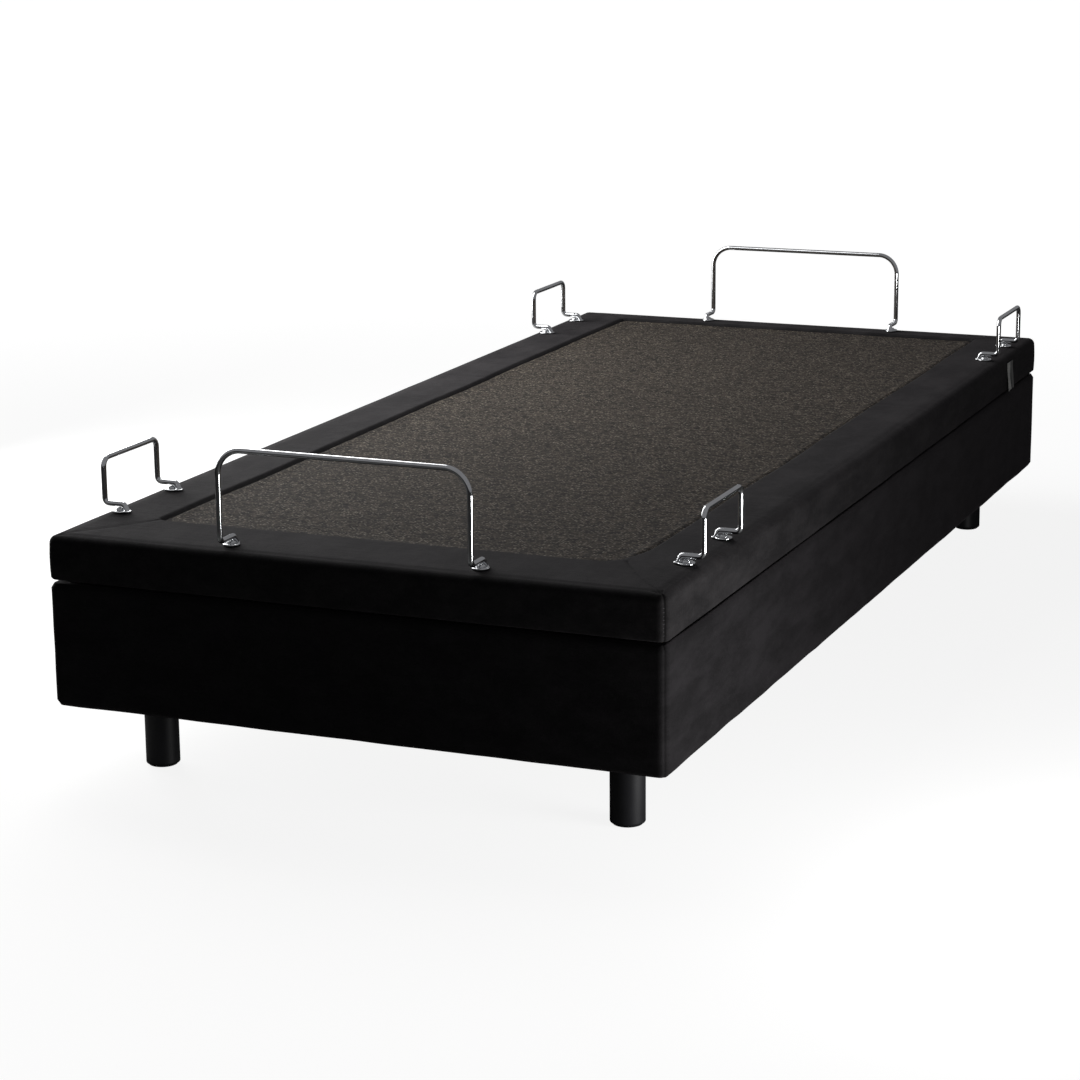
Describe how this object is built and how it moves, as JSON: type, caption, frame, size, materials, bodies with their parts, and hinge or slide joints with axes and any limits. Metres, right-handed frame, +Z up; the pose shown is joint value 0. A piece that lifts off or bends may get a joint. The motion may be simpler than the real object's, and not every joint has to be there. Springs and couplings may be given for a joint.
{
  "type": "adjustable bed base",
  "caption": "Single bed base with a padded four-section platform that lifts at the head and knees, in an upholstered surround on short round legs, with wire mattress retainers.",
  "frame": {"origin": "on the floor, below the middle of the base's outline", "axes": "+Y to the head end, -Y to the foot end, +X to the right as seen from the foot end, +Z up"},
  "size_m": [0.92, 2.03, 0.505],
  "materials": {
    "surround_fabric": "black woven velour on the surround",
    "platform_fabric": "black woven cover with a raised border and a grey-brown non-slip centre",
    "leg_finish": "satin black moulded plastic",
    "plywood": "raw birch plywood",
    "frame_paint": "black powder coat",
    "zinc_steel": "bright zinc plate",
    "chrome_wire": "polished chrome plate",
    "moulded_black": "moulded black plastic",
    "roller_nylon": "turned grey nylon"
  },
  "bodies": {
    "root": {"surround_foot_panel": "surround_fabric", "surround_head_panel": "surround_fabric", "surround_left_panel": "surround_fabric", "surround_right_panel": "surround_fabric", "leg_foot_left": "leg_finish", "leg_foot_right": "leg_finish", "leg_head_left": "leg_finish", "leg_head_right": "leg_finish", "side_rail_left": "frame_paint", "side_rail_right": "frame_paint", "end_rail_head": "frame_paint", "end_rail_foot": "frame_paint", "centre_cross_rail": "frame_paint", "control_box": "moulded_black", "seat_board": "plywood", "seat_pad": "platform_fabric", "head_hinge_pin_leaf": "zinc_steel", "thigh_hinge_pin_leaf": "zinc_steel"},
    "head_section": {"head_board": "plywood", "head_pad": "platform_fabric", "head_hinge_moving_leaf": "zinc_steel", "head_retainer": "chrome_wire", "head_screw_1": "zinc_steel", "head_screw_2": "zinc_steel", "head_left_retainer": "chrome_wire", "head_left_screw_1": "zinc_steel", "head_left_screw_2": "zinc_steel", "head_right_retainer": "chrome_wire", "head_right_screw_1": "zinc_steel", "head_right_screw_2": "zinc_steel"},
    "thigh_section": {"thigh_board": "plywood", "thigh_pad": "platform_fabric", "thigh_hinge_moving_leaf": "zinc_steel", "knee_hinge_pin_leaf": "zinc_steel"},
    "foot_section": {"foot_board": "plywood", "foot_pad": "platform_fabric", "knee_hinge_moving_leaf": "zinc_steel", "foot_retainer": "chrome_wire", "foot_screw_1": "zinc_steel", "foot_screw_2": "zinc_steel", "foot_left_retainer": "chrome_wire", "foot_left_screw_1": "zinc_steel", "foot_left_screw_2": "zinc_steel", "foot_right_retainer": "chrome_wire", "foot_right_screw_1": "zinc_steel", "foot_right_screw_2": "zinc_steel", "calf_bracket_left": "zinc_steel", "calf_bracket_right": "zinc_steel"},
    "head_lift_shaft": {"head_lift_shaft": "frame_paint"},
    "head_roller_left": {"head_roller_left": "roller_nylon"},
    "head_roller_right": {"head_roller_right": "roller_nylon"},
    "thigh_lift_shaft": {"thigh_lift_shaft": "frame_paint"},
    "thigh_roller_left": {"thigh_roller_left": "roller_nylon"},
    "thigh_roller_right": {"thigh_roller_right": "roller_nylon"},
    "head_actuator": {"head_actuator_housing": "moulded_black"},
    "head_actuator_rod": {"head_actuator_rod": "zinc_steel"},
    "thigh_actuator": {"thigh_actuator_housing": "moulded_black"},
    "thigh_actuator_rod": {"thigh_actuator_rod": "zinc_steel"},
    "calf_link_left": {"calf_link_left": "frame_paint"},
    "calf_link_right": {"calf_link_right": "frame_paint"}
  },
  "joints": [
    {"name": "head_lift", "type": "hinge", "parent": "root", "child": "head_section", "pos_m": [0, 0.275, 0.3181], "axis": [1, 0, 0], "range_deg": [0, 60]},
    {"name": "thigh_lift", "type": "hinge", "parent": "root", "child": "thigh_section", "pos_m": [0, -0.025, 0.3181], "axis": [-1, 0, 0], "range_deg": [0, 35]},
    {"name": "knee_fold", "type": "hinge", "parent": "thigh_section", "child": "foot_section", "pos_m": [0, -0.435, 0.2899], "axis": [1, 0, 0], "range_deg": [0, 45.1]},
    {"name": "head_shaft_turn", "type": "hinge", "parent": "root", "child": "head_lift_shaft", "pos_m": [0, 0.335, 0.255], "axis": [1, 0, 0], "range_deg": [0, 63.8]},
    {"name": "head_roller_left_spin", "type": "hinge", "parent": "head_lift_shaft", "child": "head_roller_left", "pos_m": [-0.248, 0.655, 0.2767], "axis": [1, 0, 0], "range_deg": [0, 272.4]},
    {"name": "head_roller_right_spin", "type": "hinge", "parent": "head_lift_shaft", "child": "head_roller_right", "pos_m": [0.248, 0.655, 0.2767], "axis": [1, 0, 0], "range_deg": [0, 272.4]},
    {"name": "thigh_shaft_turn", "type": "hinge", "parent": "root", "child": "thigh_lift_shaft", "pos_m": [0, -0.085, 0.255], "axis": [-1, 0, 0], "range_deg": [0, 40.7]},
    {"name": "thigh_roller_left_spin", "type": "hinge", "parent": "thigh_lift_shaft", "child": "thigh_roller_left", "pos_m": [-0.248, -0.325, 0.2767], "axis": [-1, 0, 0], "range_deg": [0, 154.6]},
    {"name": "thigh_roller_right_spin", "type": "hinge", "parent": "thigh_lift_shaft", "child": "thigh_roller_right", "pos_m": [0.248, -0.325, 0.2767], "axis": [-1, 0, 0], "range_deg": [0, 154.6]},
    {"name": "head_actuator_swing", "type": "hinge", "parent": "root", "child": "head_actuator", "pos_m": [0.06, 0.09, 0.191], "axis": [1, 0, 0], "range_deg": [-0.9, 0]},
    {"name": "head_actuator_extend", "type": "slide", "parent": "head_actuator", "child": "head_actuator_rod", "axis": [0, 0.9981, 0.0609], "range_m": [0, 0.0634]},
    {"name": "thigh_actuator_swing", "type": "hinge", "parent": "root", "child": "thigh_actuator", "pos_m": [-0.06, 0.16, 0.191], "axis": [-1, 0, 0], "range_deg": [-0.5, 0]},
    {"name": "thigh_actuator_extend", "type": "slide", "parent": "thigh_actuator", "child": "thigh_actuator_rod", "axis": [0, -0.9994, 0.0344], "range_m": [0, 0.0417]},
    {"name": "calf_link_left_turn", "type": "hinge", "parent": "root", "child": "calf_link_left", "pos_m": [-0.314, -0.55835, 0.262], "axis": [-1, 0, 0], "range_deg": [0, 38.9]},
    {"name": "calf_link_right_turn", "type": "hinge", "parent": "root", "child": "calf_link_right", "pos_m": [0.314, -0.55835, 0.262], "axis": [-1, 0, 0], "range_deg": [0, 38.9]}
  ],
  "couplings": [
    {"joint": "knee_fold", "follows": "thigh_lift", "ratio": 1.2857},
    {"joint": "head_shaft_turn", "follows": "head_lift", "ratio": 1.0611},
    {"joint": "head_roller_left_spin", "follows": "head_lift", "ratio": 4.5378},
    {"joint": "head_roller_right_spin", "follows": "head_lift", "ratio": 4.5378},
    {"joint": "thigh_shaft_turn", "follows": "thigh_lift", "ratio": 1.1578},
    {"joint": "thigh_roller_left_spin", "follows": "thigh_lift", "ratio": 4.4119},
    {"joint": "thigh_roller_right_spin", "follows": "thigh_lift", "ratio": 4.4119},
    {"joint": "head_actuator_swing", "follows": "head_lift", "ratio": -0.013298},
    {"joint": "head_actuator_extend", "follows": "head_lift", "m_per_rad": 0.060353},
    {"joint": "thigh_actuator_swing", "follows": "thigh_lift", "ratio": -0.0087961},
    {"joint": "thigh_actuator_extend", "follows": "thigh_lift", "m_per_rad": 0.067997},
    {"joint": "calf_link_left_turn", "follows": "thigh_lift", "ratio": 1.1079},
    {"joint": "calf_link_right_turn", "follows": "thigh_lift", "ratio": 1.1079}
  ]
}
